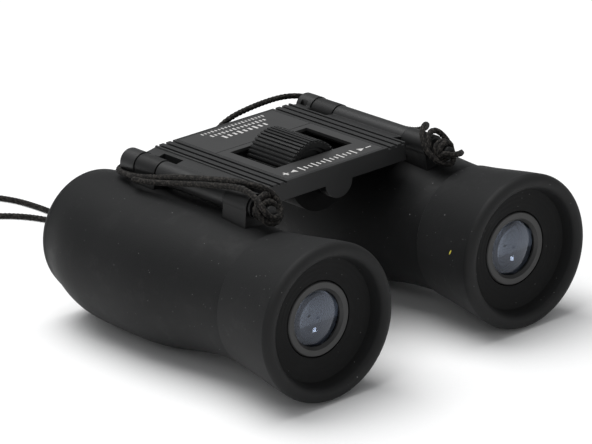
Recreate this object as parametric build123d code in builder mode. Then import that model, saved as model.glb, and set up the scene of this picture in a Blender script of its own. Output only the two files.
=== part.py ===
"""Compact folding binoculars: two roof-prism barrels hung from a flat bridge by two hinges.

X runs across the eyes, +Y points from the eyecups to the objectives, and +Z is up.
The origin is the middle of the footprint, on the surface that the barrels rest on.
"""
from build123d import *
from math import pi, radians, tan
import os

os.makedirs("parts", exist_ok=True)

# ---------------------------------------------------------------- driving dimensions, mm
LENGTH = 93.0               # eyecup rim to objective lip
EYE_SPACING = 61.6          # between the two optical axes
AXIS_Z = 19.8               # optical axes above the rest surface
HINGE_X = 27.8              # fold hinges, each side of the middle
HINGE_Z = 40.6
DECK_TOP = 43.1
DECK_HALF = 21.4            # half width of the ribbed deck
DECK_FRONT = -14.3          # the edge nearer the eyes
DECK_BACK = 29.9
WHEEL_Z = 38.8              # focus roller axis
WHEEL_R = 7.8
STRAP_D = 1.5

EYE_END = -LENGTH / 2
OBJECTIVE_END = LENGTH / 2
EYE_X = EYE_SPACING / 2
RUN_GAP = 0.1               # radial clearance of a running fit
FACE_GAP = 0.3              # gap between faces that pass each other
SIDES = {"left": -1, "right": 1}


def barrel_axis(side):
    """The optical axis of one barrel."""
    return Axis((side * EYE_X, 0, AXIS_Z), (0, 1, 0))


def barrel_profile_plane(side):
    """Local x runs along the optical axis and local y is the radius."""
    return Plane(origin=(side * EYE_X, 0, AXIS_Z), x_dir=(0, 1, 0), z_dir=(0, 0, 1))


def across(x, z, y=0.0):
    """A plane square to the barrels at y, with local x to +X and local y to +Z, facing -Y."""
    return Plane(origin=(x, y, z), x_dir=(1, 0, 0), z_dir=(0, -1, 0))


def save(part, name):
    """Label one finished piece and write its STEP file."""
    part.label = name
    export_step(part, f"parts/{name}.step")


# ---------------------------------------------------------------- hinge stations along Y
TUBE_R = 2.9                # bridge hinge tubes
KNUCKLE_R = 3.1             # barrel knuckles
PIN_R = 1.8
BORE_R = PIN_R + RUN_GAP
TUBE_FRONT = -8.2
FRONT_KNUCKLE = (-17.2, TUBE_FRONT - FACE_GAP)
REAR_KNUCKLE = (18.2, 26.0)
TUBE_END = 32.0
END_CAP_R = 3.3
FOLD_RADIUS = ((EYE_X - HINGE_X) ** 2 + (HINGE_Z - AXIS_Z) ** 2) ** 0.5
UP_X = (HINGE_X - EYE_X) / FOLD_RADIUS      # unit vector from the optical axis to the hinge
UP_Z = (HINGE_Z - AXIS_Z) / FOLD_RADIUS

# ---------------------------------------------------------------- bridge frame
DECK_BOTTOM = 38.5
DECK_WALL = 1.4
CAVITY_HALF = 20.0
CAVITY_FRONT = DECK_FRONT + 1.5
CAVITY_BACK = DECK_BACK - 1.5
COVER_T = 1.0
PLATE_HALF = 15.0           # inlaid deck plates
PLATE_T = 0.8
PLATE_MARGIN = 0.8
WINDOW_HALF = 12.4
WINDOW_FRONT = -5.6
WINDOW_BACK = 12.4
RIB_PITCH = 2.1
RIB_FIRST = 16.3
GROOVE_W = 0.8
GROOVE_DEPTH = 0.6
FLANGE_EDGE_Z = 42.0
FLANGE_BOTTOM = 39.2
SLOT_INNER = 24.2           # inboard edge of the openings round the rear knuckles
FINGER_SLOT = (22.4, 17.3, 2.4, 7.6)        # deck window beside them: x, y, width, length
REAR_NOTCH = (24.4, 27.8, 1.2, 2.3)         # relief at the deck's rear corners
BOSS_R = 4.2
JOURNAL_R = 1.5
SCREW_THREAD_R = 2.0        # focus screw
SCREW_X = 16.6
SCREW_Y = (-10.4, 25.6)
SCREW_R = 0.9
ARM_Y = 14.4                # focus carriage arms
ARM_W = 2.4
ARM_T = 1.2
FOCUS_TRAVEL = 1.2          # each way
ARM_SLOT_HALF = ARM_W / 2 + FOCUS_TRAVEL + FACE_GAP
deck_middle = (DECK_FRONT + DECK_BACK) / 2
deck_length = DECK_BACK - DECK_FRONT

with BuildPart() as bridge_frame:
    with BuildSketch(Plane.XY.offset(DECK_BOTTOM)):
        with Locations((0, deck_middle)):
            Rectangle(2 * DECK_HALF, deck_length)
    extrude(amount=DECK_TOP - DECK_BOTTOM)
    # flanges that fall away from the outer ribs to the hinge tubes
    with BuildSketch(across(0, 0, TUBE_FRONT)):
        for side in SIDES.values():
            with BuildLine():
                Polyline(
                    (side * (DECK_HALF - 1), FLANGE_BOTTOM),
                    (side * HINGE_X, FLANGE_BOTTOM),
                    (side * HINGE_X, FLANGE_EDGE_Z),
                    (side * (HINGE_X - TUBE_R + 0.4), FLANGE_EDGE_Z),
                    (side * DECK_HALF, DECK_TOP - 0.4),
                    (side * (DECK_HALF - 1), DECK_TOP - 0.4),
                    close=True,
                )
            make_face()
    extrude(amount=-(DECK_BACK - TUBE_FRONT))
    with BuildSketch(across(0, 0, TUBE_FRONT)):
        with Locations((-HINGE_X, HINGE_Z), (HINGE_X, HINGE_Z)):
            Circle(TUBE_R)
    extrude(amount=-(TUBE_END - TUBE_FRONT))
    with BuildSketch(across(0, 0, REAR_KNUCKLE[1] + FACE_GAP)):
        with Locations((-HINGE_X, HINGE_Z), (HINGE_X, HINGE_Z)):
            Circle(END_CAP_R)
    extrude(amount=-(TUBE_END - REAR_KNUCKLE[1] - FACE_GAP))
    fillet(bridge_frame.faces().sort_by(Axis.Y)[-2:].edges(), radius=0.7)
    # the focus screw's bearing bosses
    for boss_y, boss_depth, boss_r in ((DECK_FRONT, 3.0, BOSS_R), (DECK_BACK - 3.0, 3.0, BOSS_R - 0.7)):
        with BuildSketch(across(0, WHEEL_Z, boss_y)):
            Circle(boss_r)
        extrude(amount=-boss_depth)
    # hollow from below, leaving the bearing bosses and four screw bosses
    with BuildSketch(Plane.XY.offset(DECK_BOTTOM)):
        with Locations((0, (CAVITY_FRONT + CAVITY_BACK) / 2)):
            Rectangle(2 * CAVITY_HALF, CAVITY_BACK - CAVITY_FRONT)
        with Locations((0, DECK_FRONT + 1.5), (0, DECK_BACK - 1.5)):
            Rectangle(2 * BOSS_R + 1, 3.0 + 0.4, mode=Mode.SUBTRACT)
    extrude(amount=DECK_TOP - DECK_WALL - DECK_BOTTOM, mode=Mode.SUBTRACT)
    with BuildSketch(Plane.XY.offset(DECK_BOTTOM + COVER_T)):
        with Locations(*[(side * SCREW_X, y) for side in (-1, 1) for y in SCREW_Y]):
            Circle(2.1)
    extrude(amount=DECK_TOP - DECK_WALL - DECK_BOTTOM - COVER_T)
    with BuildSketch(Plane.XY.offset(DECK_BOTTOM)):
        with Locations(*[(side * SCREW_X, y) for side in (-1, 1) for y in SCREW_Y]):
            Circle(SCREW_R)
    extrude(amount=DECK_TOP - PLATE_T - 0.4 - DECK_BOTTOM, mode=Mode.SUBTRACT)
    # roller window and the shallow seat of the inlaid plates
    with BuildSketch(Plane.XY.offset(DECK_BOTTOM)):
        with Locations((0, (WINDOW_FRONT + WINDOW_BACK) / 2)):
            Rectangle(2 * WINDOW_HALF, WINDOW_BACK - WINDOW_FRONT)
    extrude(amount=DECK_TOP - DECK_BOTTOM, mode=Mode.SUBTRACT)
    with BuildSketch(Plane.XY.offset(DECK_TOP - PLATE_T)):
        with Locations((0, deck_middle)):
            Rectangle(2 * PLATE_HALF, deck_length - 2 * PLATE_MARGIN)
    extrude(amount=PLATE_T, mode=Mode.SUBTRACT)
    # three grooves each side leave the ribs
    with BuildSketch(across(0, DECK_TOP, DECK_FRONT)):
        with Locations(*[(side * (RIB_FIRST + n * RIB_PITCH), 0) for side in (-1, 1) for n in range(3)]):
            Rectangle(GROOVE_W, 2 * GROOVE_DEPTH)
    extrude(amount=-deck_length, mode=Mode.SUBTRACT)
    # openings round the barrels' rear knuckles
    with BuildSketch(Plane.XY.offset(DECK_BOTTOM - 2)):
        for side in SIDES.values():
            with Locations((side * (SLOT_INNER + 5), sum(REAR_KNUCKLE) / 2)):
                Rectangle(10, REAR_KNUCKLE[1] - REAR_KNUCKLE[0] + 2 * FACE_GAP)
            for x, y, width, length in (FINGER_SLOT, REAR_NOTCH):
                with Locations((side * (x + width / 2), y + length / 2)):
                    Rectangle(width, length)
    extrude(amount=DECK_TOP - DECK_BOTTOM + 4, mode=Mode.SUBTRACT)
    # bores: press-fitted pins at both ends, a running bore for the focus rods between them
    for side in SIDES.values():
        with BuildSketch(across(side * HINGE_X, HINGE_Z, TUBE_FRONT)):
            Circle(PIN_R)
        extrude(amount=-(TUBE_END - 0.8 - TUBE_FRONT), mode=Mode.SUBTRACT)
        with BuildSketch(across(side * HINGE_X, HINGE_Z, 2.0)):
            Circle(BORE_R)
        extrude(amount=-(REAR_KNUCKLE[0] - 2.0), mode=Mode.SUBTRACT)
        with BuildSketch(Plane.XY.offset(HINGE_Z - ARM_T / 2 - 0.2)):
            with Locations((side * (CAVITY_HALF + HINGE_X) / 2, ARM_Y)):
                Rectangle(HINGE_X - CAVITY_HALF + 1, 2 * ARM_SLOT_HALF)
        extrude(amount=ARM_T + 0.4, mode=Mode.SUBTRACT)
    # screw journals: a seat for the front bush and a blind rear bearing
    with BuildSketch(across(0, WHEEL_Z, DECK_FRONT + 0.8)):
        Circle(2.4)
    extrude(amount=-2.6, mode=Mode.SUBTRACT)
    with BuildSketch(across(0, WHEEL_Z, CAVITY_BACK - 2.0)):
        Circle(JOURNAL_R + RUN_GAP)
    extrude(amount=-2.7, mode=Mode.SUBTRACT)
    outer_lip = bridge_frame.edges().filter_by(Axis.Y).group_by(Axis.Z)[-1]
    fillet(outer_lip.sort_by(Axis.X)[0], radius=0.3)
save(bridge_frame.part, "bridge_frame")

PLATE_SEAM = 14.0
with BuildPart() as deck_plate:
    with BuildSketch(Plane.XY.offset(DECK_TOP - PLATE_T)):
        plate_front = DECK_FRONT + PLATE_MARGIN + 0.1
        with Locations((0, (plate_front + PLATE_SEAM) / 2)):
            Rectangle(2 * PLATE_HALF - 0.2, PLATE_SEAM - plate_front)
        with Locations((0, (WINDOW_FRONT + WINDOW_BACK) / 2)):
            Rectangle(2 * WINDOW_HALF - 0.6, WINDOW_BACK - WINDOW_FRONT - 0.6, mode=Mode.SUBTRACT)
    extrude(amount=PLATE_T)
save(deck_plate.part, "deck_plate_front")

with BuildPart() as rear_plate:
    with BuildSketch(Plane.XY.offset(DECK_TOP - PLATE_T)):
        plate_back = DECK_BACK - PLATE_MARGIN - 0.1
        with Locations((0, (plate_back + PLATE_SEAM + 0.2) / 2)):
            Rectangle(2 * PLATE_HALF - 0.2, plate_back - PLATE_SEAM - 0.2)
    extrude(amount=PLATE_T)
save(rear_plate.part, "deck_plate_rear")

# ---------------------------------------------------------------- bottom cover and its screws
WELL_R = 9.1                # outside of the trough round the roller
WELL_T = 0.8
WELL_SPAN = (-7.4, 12.6)
NECK_R = 4.1                # outside of the trough round the screw and nut
with BuildPart() as bottom_cover:
    with BuildSketch(Plane.XY.offset(DECK_BOTTOM)):
        with Locations((0, (CAVITY_FRONT + CAVITY_BACK) / 2)):
            Rectangle(2 * CAVITY_HALF - 0.2, CAVITY_BACK - CAVITY_FRONT - 0.2)
        with Locations((0, DECK_FRONT + 1.5), (0, DECK_BACK - 1.5)):
            Rectangle(2 * BOSS_R + 1.2, 3.0 + 1.0, mode=Mode.SUBTRACT)
    extrude(amount=COVER_T)
    with BuildSketch(across(0, WHEEL_Z, WELL_SPAN[0])):
        Circle(WELL_R)
    extrude(amount=-(WELL_SPAN[1] - WELL_SPAN[0]))
    with BuildSketch(across(0, WHEEL_Z, CAVITY_FRONT + 2.0)):
        Circle(NECK_R)
    extrude(amount=-(CAVITY_BACK - CAVITY_FRONT - 4.0))
    split(bisect_by=Plane.XY.offset(DECK_BOTTOM + COVER_T), keep=Keep.BOTTOM)
    with BuildSketch(across(0, WHEEL_Z, WELL_SPAN[0] + WELL_T)):
        Circle(WELL_R - WELL_T)
    extrude(amount=-(WELL_SPAN[1] - WELL_SPAN[0] - 2 * WELL_T), mode=Mode.SUBTRACT)
    with BuildSketch(across(0, WHEEL_Z, CAVITY_FRONT + 2.0 + WELL_T)):
        Circle(NECK_R - WELL_T)
    extrude(amount=-(CAVITY_BACK - CAVITY_FRONT - 4.0 - 2 * WELL_T), mode=Mode.SUBTRACT)
    with BuildSketch(across(0, WHEEL_Z, CAVITY_FRONT)):
        Circle(SCREW_THREAD_R + 0.6)
    extrude(amount=-(CAVITY_BACK - CAVITY_FRONT), mode=Mode.SUBTRACT)
    with Locations(*[(side * SCREW_X, y, DECK_BOTTOM) for side in (-1, 1) for y in SCREW_Y]):
        with Locations(Rotation(180, 0, 0)):
            CounterSinkHole(radius=SCREW_R + 0.1, counter_sink_radius=1.9, depth=COVER_T, counter_sink_angle=90)
save(bottom_cover.part, "bridge_bottom_cover")

with BuildPart() as cover_screws:
    with Locations(*[(side * SCREW_X, y, DECK_BOTTOM + 0.05) for side in (-1, 1) for y in SCREW_Y]):
        Cone(bottom_radius=1.75, top_radius=SCREW_R - 0.05, height=0.85,
             align=(Align.CENTER, Align.CENTER, Align.MIN))
        Cylinder(radius=SCREW_R - 0.05, height=3.0, align=(Align.CENTER, Align.CENTER, Align.MIN))
        Box(2.2, 0.4, 0.6, mode=Mode.SUBTRACT)
save(cover_screws.part, "bridge_cover_screws")

# ---------------------------------------------------------------- hinge pins
STRAP_POST_R = 1.5
POST_END = -23.0
POST_COLLAR_T = 0.7
for name, side in SIDES.items():
    with BuildPart() as front_pin:
        pin_head = FRONT_KNUCKLE[0] - 0.15
        for start, end, radius in (
            (POST_END, pin_head - POST_COLLAR_T, STRAP_POST_R),
            (pin_head - POST_COLLAR_T, pin_head, 2.7),
            (pin_head, 1.8, PIN_R),
        ):
            with BuildSketch(across(side * HINGE_X, HINGE_Z, start)):
                Circle(radius)
            extrude(amount=-(end - start))
        chamfer(front_pin.edges().group_by(Axis.Y)[-1], length=0.3)
    save(front_pin.part, f"hinge_pin_front_{name}")

    with BuildPart() as rear_pin:
        with BuildSketch(across(side * HINGE_X, HINGE_Z, REAR_KNUCKLE[1] - 1.3)):
            Circle(PIN_R)
        extrude(amount=-(TUBE_END - 0.8 - REAR_KNUCKLE[1] + 1.3))
    save(rear_pin.part, f"hinge_pin_rear_{name}")

# ---------------------------------------------------------------- focus drive
WHEEL_SPAN = (-4.6, 11.4)
WHEEL_TEETH = 44
TOOTH_DEPTH = 0.42
CAP_R = 6.0
NUT_SPAN = (13.2, 19.2)
with BuildPart() as focus_bush:
    with BuildSketch(across(0, WHEEL_Z, DECK_FRONT + 0.8)):
        Circle(2.4)
        Circle(JOURNAL_R + RUN_GAP, mode=Mode.SUBTRACT)
    extrude(amount=-2.6)
save(focus_bush.part, "focus_bush")

with BuildPart() as focus_wheel:
    with BuildSketch(across(0, WHEEL_Z, WHEEL_SPAN[0])):
        Circle(WHEEL_R)
        with PolarLocations(WHEEL_R, WHEEL_TEETH):
            Rectangle(2 * TOOTH_DEPTH, 0.5, mode=Mode.SUBTRACT)
        Circle(SCREW_THREAD_R, mode=Mode.SUBTRACT)
    extrude(amount=-(WHEEL_SPAN[1] - WHEEL_SPAN[0]))
    with BuildSketch(across(0, WHEEL_Z, WHEEL_SPAN[0])):
        Circle(CAP_R)
    extrude(amount=-2.4, mode=Mode.SUBTRACT)
save(focus_wheel.part, "focus_wheel")

with BuildPart() as wheel_cap:
    with BuildSketch(across(0, WHEEL_Z, WHEEL_SPAN[0] + 0.8)):
        Circle(CAP_R)
        Circle(SCREW_THREAD_R, mode=Mode.SUBTRACT)
    extrude(amount=-1.6)
    with BuildSketch(across(0, WHEEL_Z, WHEEL_SPAN[0] + 0.8)):
        Circle(CAP_R - 0.9)
        Circle(SCREW_THREAD_R + 1.0, mode=Mode.SUBTRACT)
    extrude(amount=-0.8, mode=Mode.SUBTRACT)
save(wheel_cap.part, "focus_wheel_cap")

with BuildPart() as focus_screw:
    for start, end, radius in (
        (DECK_FRONT + 1.0, DECK_FRONT + 5.0, JOURNAL_R),
        (DECK_FRONT + 5.0, NUT_SPAN[1] + 3.0, SCREW_THREAD_R),
        (NUT_SPAN[1] + 3.0, CAVITY_BACK + 0.4, JOURNAL_R),
    ):
        with BuildSketch(across(0, WHEEL_Z, start)):
            Circle(radius)
        extrude(amount=-(end - start))
save(focus_screw.part, "focus_screw")

with BuildPart() as focus_carriage:
    with BuildSketch(across(0, WHEEL_Z, NUT_SPAN[0])):
        with BuildLine():
            Polyline((-3.0, 2.5), (-3.0, -1.2), (-1.6, -2.9), (1.6, -2.9), (3.0, -1.2), (3.0, 2.5), close=True)
        make_face()
    extrude(amount=-(NUT_SPAN[1] - NUT_SPAN[0]))
    with BuildSketch(Plane.XY.offset(HINGE_Z - ARM_T / 2)):
        with Locations((0, ARM_Y)):
            Rectangle(2 * (HINGE_X - BORE_R), ARM_W)
            Rectangle(2 * HINGE_X, 1.0)
    extrude(amount=ARM_T)
    with BuildSketch(across(0, WHEEL_Z, NUT_SPAN[0])):
        Circle(SCREW_THREAD_R + RUN_GAP)
    extrude(amount=-(NUT_SPAN[1] - NUT_SPAN[0]), mode=Mode.SUBTRACT)
save(focus_carriage.part, "focus_carriage")

LEVER_Y = 22.0
LEVER_T = 0.9
LEVER_GROOVE_R = 1.0
ROD_SPAN = (ARM_Y - 1.6, LEVER_Y + 1.0)
for name, side in SIDES.items():
    with BuildPart() as focus_rod:
        with BuildSketch(across(side * HINGE_X, HINGE_Z, ROD_SPAN[0])):
            Circle(PIN_R)
        extrude(amount=-(ROD_SPAN[1] - ROD_SPAN[0]))
        # socket for the carriage arm's tongue
        with BuildSketch(Plane.XY.offset(HINGE_Z - ARM_T / 2)):
            with Locations((side * (HINGE_X - 2), ARM_Y)):
                Rectangle(4.0, 1.0)
        extrude(amount=ARM_T, mode=Mode.SUBTRACT)
        # groove for the objective lever's fork
        with BuildSketch(across(side * HINGE_X, HINGE_Z, LEVER_Y - 0.55)):
            Circle(PIN_R + 0.5)
            Circle(LEVER_GROOVE_R, mode=Mode.SUBTRACT)
        extrude(amount=-1.1, mode=Mode.SUBTRACT)
    save(focus_rod.part, f"focus_rod_{name}")

# ---------------------------------------------------------------- barrels
TUBE_OUT = 14.9
TUBE_IN = 13.6
COLLAR_OUT = 12.2
COLLAR_IN = 10.0
COLLAR_FRONT = -33.0
SEAM_Y = -24.6              # where the armour meets the eyecup
BODY_END = 43.9
FOOT_HALF = 3.0
LEVER_SLOT_HALF = 1.8
LEVER_SLOT = (LEVER_Y - LEVER_T / 2 - FOCUS_TRAVEL - 0.15, LEVER_Y + LEVER_T / 2 + FOCUS_TRAVEL + 0.15)
MOUTH_R = 13.0
ARMOUR_IN = TUBE_OUT + 0.05
# armour section at each station: y, radius, shift outboard, shift down
ARMOUR_STATIONS = (
    (SEAM_Y, 16.0, 0.0, 0.0),
    (-17.0, 16.35, 0.0, 0.0),
    (-9.0, 17.0, 0.05, 0.1),
    (-1.0, 17.9, 0.25, 0.55),
    (8.0, 18.55, 0.45, 1.1),
    (20.0, 18.6, 0.5, 1.2),
    (31.5, 18.3, 0.45, 1.1),
    (38.0, 17.3, 0.25, 0.6),
    (43.5, 16.0, 0.05, 0.1),
)
ARMOUR_LIP_R = 15.6


def hinge_plane(side, y):
    """Square to the barrel at y, centred on the optical axis, with local y towards the hinge."""
    return Plane(origin=(side * EYE_X, y, AXIS_Z), x_dir=(-UP_Z, 0, side * UP_X), z_dir=(0, 1, 0))


def turned(side, outline):
    """A ring turned about one optical axis from (y, radius) corners."""
    with BuildPart() as ring:
        with BuildSketch(barrel_profile_plane(side)):
            with BuildLine():
                Polyline(*outline, close=True)
            make_face()
        revolve(axis=barrel_axis(side))
    return ring.part


def bulge_halfway(radius, sag):
    """How far a spherical face stands out of its rim at half its radius."""
    sphere_r = (radius ** 2 + sag ** 2) / (2 * sag)
    return sag - sphere_r + (sphere_r ** 2 - radius ** 2 / 4) ** 0.5


def lens(side, front, back, radius, front_sag, back_sag):
    """A lens turned about one optical axis; a sag is how far a face bulges at its middle."""
    front_mid = (front - bulge_halfway(radius, front_sag), radius / 2)
    back_mid = (back + bulge_halfway(radius, back_sag), radius / 2)
    with BuildPart() as glass:
        with BuildSketch(barrel_profile_plane(side)):
            with BuildLine():
                Line((front - front_sag, 0), (back + back_sag, 0))
                ThreePointArc((back + back_sag, 0), back_mid, (back, radius))
                Line((back, radius), (front, radius))
                ThreePointArc((front, radius), front_mid, (front - front_sag, 0))
            make_face()
        revolve(axis=barrel_axis(side))
    return glass.part


for name, side in SIDES.items():
    with BuildPart() as barrel_body:
        with BuildSketch(barrel_profile_plane(side)):
            with BuildLine():
                Polyline(
                    (COLLAR_FRONT, COLLAR_IN),
                    (COLLAR_FRONT, COLLAR_OUT),
                    (SEAM_Y, COLLAR_OUT),
                    (SEAM_Y, TUBE_OUT),
                    (BODY_END, TUBE_OUT),
                    (BODY_END, TUBE_IN),
                    (-12.4, TUBE_IN),
                    (-12.4, COLLAR_IN),
                    close=True,
                )
            make_face()
        revolve(axis=barrel_axis(side))
        for knuckle in (FRONT_KNUCKLE, REAR_KNUCKLE):
            width = knuckle[1] - knuckle[0]
            with BuildSketch(hinge_plane(side, knuckle[0])):
                with Locations((0, FOLD_RADIUS)):
                    Circle(KNUCKLE_R)
                foot_base = TUBE_OUT - 0.8
                with Locations((0, (foot_base + FOLD_RADIUS) / 2)):
                    Rectangle(2 * FOOT_HALF, FOLD_RADIUS - foot_base)
            extrude(amount=width)
            with BuildSketch(hinge_plane(side, knuckle[0])):
                with Locations((0, FOLD_RADIUS)):
                    Circle(BORE_R)
            extrude(amount=width, mode=Mode.SUBTRACT)
        # slot that lets the focus lever reach the rod
        with BuildSketch(hinge_plane(side, LEVER_SLOT[0])):
            slot_base = TUBE_IN - 0.6
            with Locations((0, (slot_base + FOLD_RADIUS) / 2)):
                Rectangle(2 * LEVER_SLOT_HALF, FOLD_RADIUS - slot_base)
        extrude(amount=LEVER_SLOT[1] - LEVER_SLOT[0], mode=Mode.SUBTRACT)
    save(barrel_body.part, f"barrel_body_{name}")

    with BuildPart() as armour:
        for y, radius, out, down in ARMOUR_STATIONS:
            with BuildSketch(across(side * (EYE_X + out), AXIS_Z - down, y)):
                Circle(radius)
        loft()
        with BuildSketch(barrel_profile_plane(side)):
            with BuildLine():
                lip_y, lip_r = ARMOUR_STATIONS[-1][0], ARMOUR_STATIONS[-1][1] - 0.1
                Polyline((lip_y - 1, 0), (lip_y - 1, lip_r), (lip_y, lip_r))
                Spline((lip_y, lip_r), (OBJECTIVE_END - 0.9, ARMOUR_LIP_R - 0.3), (OBJECTIVE_END, ARMOUR_LIP_R - 1.2))
                Polyline((OBJECTIVE_END, ARMOUR_LIP_R - 1.2), (OBJECTIVE_END, 0), (lip_y - 1, 0))
            make_face()
        revolve(axis=barrel_axis(side))
        with BuildSketch(across(side * EYE_X, AXIS_Z, SEAM_Y - 1)):
            Circle(ARMOUR_IN)
        extrude(amount=-(BODY_END + 0.05 - SEAM_Y + 1), mode=Mode.SUBTRACT)
        with BuildSketch(across(side * EYE_X, AXIS_Z, 0)):
            Circle(MOUTH_R)
        extrude(amount=-(OBJECTIVE_END + 1), mode=Mode.SUBTRACT)
        for knuckle in (FRONT_KNUCKLE, REAR_KNUCKLE):
            with BuildSketch(hinge_plane(side, knuckle[0] - 0.15)):
                with Locations((0, FOLD_RADIUS - 2)):
                    Rectangle(2 * FOOT_HALF + 0.3, 12)
            extrude(amount=knuckle[1] - knuckle[0] + 0.3, mode=Mode.SUBTRACT)
    save(armour.part, f"armour_{name}")

# ---------------------------------------------------------------- eyepieces
RIM_R = 19.3
RIM_IN = 15.7
CUP_END = SEAM_Y - FACE_GAP
CUP_BACK_R = 16.75
CUP_IN = 14.9
RING_OUT = CUP_IN - 0.05
LENS_RING_R = 9.1
LENS_FACE = EYE_END + 4.4
LENS_GLASS_R = 6.8
for name, side in SIDES.items():
    with BuildPart() as eyecup:
        with BuildSketch(barrel_profile_plane(side)):
            with BuildLine():
                Line((CUP_END, 16.4), (CUP_END - 0.4, CUP_BACK_R))
                Spline((CUP_END - 0.4, CUP_BACK_R), (-33.0, 17.7), (-41.0, 18.85), (-44.8, RIM_R))
                ThreePointArc((-44.8, RIM_R), (EYE_END, (RIM_R + RIM_IN) / 2 + 0.2), (-45.0, RIM_IN))
                Polyline((-45.0, RIM_IN), (-42.9, 14.9), (-41.9, LENS_RING_R + 0.3), (-38.6, LENS_RING_R + 0.3))
                Polyline((-38.6, LENS_RING_R + 0.3), (-38.6, CUP_IN), (CUP_END, CUP_IN), (CUP_END, 16.4))
            make_face()
        revolve(axis=barrel_axis(side))
    save(eyecup.part, f"eyecup_{name}")

    ring_name = "eyepiece_ring_left" if name == "left" else "diopter_ring_right"
    save(turned(side, [
        (-38.5, 9.8), (-38.5, RING_OUT), (CUP_END, RING_OUT), (CUP_END, COLLAR_OUT + RUN_GAP),
        (COLLAR_FRONT - 0.3, COLLAR_OUT + RUN_GAP), (COLLAR_FRONT - 0.3, 9.8),
    ]), ring_name)

    save(turned(side, [
        (LENS_FACE + 1.2, 7.75), (LENS_FACE + 1.2, LENS_RING_R), (-26.0, LENS_RING_R), (-26.0, COLLAR_IN - 0.05),
        (-14.0, COLLAR_IN - 0.05), (-14.0, 9.0), (-25.0, 9.0), (-25.0, 7.75),
    ]), f"lens_tube_{name}")

    save(turned(side, [
        (LENS_FACE, LENS_GLASS_R + 0.7), (LENS_FACE, LENS_RING_R - 0.25), (LENS_FACE + 0.25, LENS_RING_R),
        (LENS_FACE + 1.2, LENS_RING_R), (LENS_FACE + 1.2, LENS_GLASS_R), (LENS_FACE + 0.7, LENS_GLASS_R),
    ]), f"eye_lens_ring_{name}")

    save(lens(side, LENS_FACE + 1.55, LENS_FACE + 4.3, 7.7, 1.1, 1.4), f"eye_lens_{name}")
    save(lens(side, -22.0, -19.4, 8.95, 1.2, 0.2), f"field_lens_{name}")
    save(turned(side, [(-17.2, 6.0), (-17.2, 8.95), (-16.4, 8.95), (-16.4, 6.0)]), f"field_stop_{name}")

# ---------------------------------------------------------------- prisms
PRISM_HALF_W = 7.0
CAGE_SPAN = (-11.6, 13.2)
for name, side in SIDES.items():
    with BuildPart() as prism_cage:
        with BuildSketch(across(side * EYE_X, AXIS_Z, CAGE_SPAN[0])):
            Circle(TUBE_IN - 0.05)
            Rectangle(2 * PRISM_HALF_W + 0.1, 21.0, mode=Mode.SUBTRACT)
        extrude(amount=-(CAGE_SPAN[1] - CAGE_SPAN[0]))
        for stop_y in (CAGE_SPAN[0], CAGE_SPAN[1] - 0.8):
            with BuildSketch(across(side * EYE_X, AXIS_Z, stop_y)):
                Rectangle(2 * PRISM_HALF_W + 0.1, 21.0)
                Circle(6.4, mode=Mode.SUBTRACT)
            extrude(amount=-0.8)
    save(prism_cage.part, f"prism_cage_{name}")

    with BuildPart() as half_penta:
        with BuildSketch(Plane.YZ.offset(side * EYE_X - PRISM_HALF_W)):
            with BuildLine():
                Polyline((-10.6, AXIS_Z - 7), (-10.6, AXIS_Z + 7), (-5.2, AXIS_Z + 10), (2.2, AXIS_Z + 2.6),
                         (-3.4, AXIS_Z - 10), close=True)
            make_face()
        extrude(amount=2 * PRISM_HALF_W)
    save(half_penta.part, f"half_penta_prism_{name}")

    with BuildPart() as roof_prism:
        with BuildSketch(Plane.YZ.offset(side * EYE_X - PRISM_HALF_W)):
            with BuildLine():
                Polyline((-2.8, AXIS_Z - 10), (2.8, AXIS_Z + 2.6), (-4.2, AXIS_Z + 10), (12.2, AXIS_Z + 10),
                         (12.2, AXIS_Z - 6), (8.0, AXIS_Z - 10), close=True)
            make_face()
        extrude(amount=2 * PRISM_HALF_W)
    save(roof_prism.part, f"roof_prism_{name}")

# ---------------------------------------------------------------- objectives
CELL_SPAN = (20.0, 37.0)
LENS_SEAT_Y = 31.0
CELL_IN = 11.6
SEAT_IN = 12.6
for name, side in SIDES.items():
    save(turned(side, [
        (CELL_SPAN[0], CELL_IN), (CELL_SPAN[0], TUBE_IN - RUN_GAP), (CELL_SPAN[1], TUBE_IN - RUN_GAP),
        (CELL_SPAN[1], SEAT_IN), (LENS_SEAT_Y, SEAT_IN), (LENS_SEAT_Y, CELL_IN),
    ]), f"objective_cell_{name}")
    save(lens(side, LENS_SEAT_Y + 0.1, LENS_SEAT_Y + 4.4, SEAT_IN - 0.05, 0.4, 1.4), f"objective_lens_{name}")
    save(turned(side, [
        (LENS_SEAT_Y + 4.75, CELL_IN), (LENS_SEAT_Y + 4.75, SEAT_IN - 0.05), (CELL_SPAN[1], SEAT_IN - 0.05),
        (CELL_SPAN[1], CELL_IN + 0.5),
    ]), f"objective_ring_{name}")

    with BuildPart() as focus_lever:
        lever_foot = CELL_IN + 1.0
        lever_tip = FOLD_RADIUS + 0.6
        with BuildSketch(hinge_plane(side, LEVER_Y - LEVER_T / 2)):
            with Locations((0, (lever_foot + lever_tip) / 2)):
                Rectangle(3.2, lever_tip - lever_foot)
            with Locations((0, FOLD_RADIUS)):
                Circle(LEVER_GROOVE_R + 0.05, mode=Mode.SUBTRACT)
            with Locations((0, FOLD_RADIUS + 1)):
                Rectangle(2 * LEVER_GROOVE_R + 0.1, 2, mode=Mode.SUBTRACT)
        extrude(amount=LEVER_T)
    save(focus_lever.part, f"focus_lever_{name}")

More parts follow.
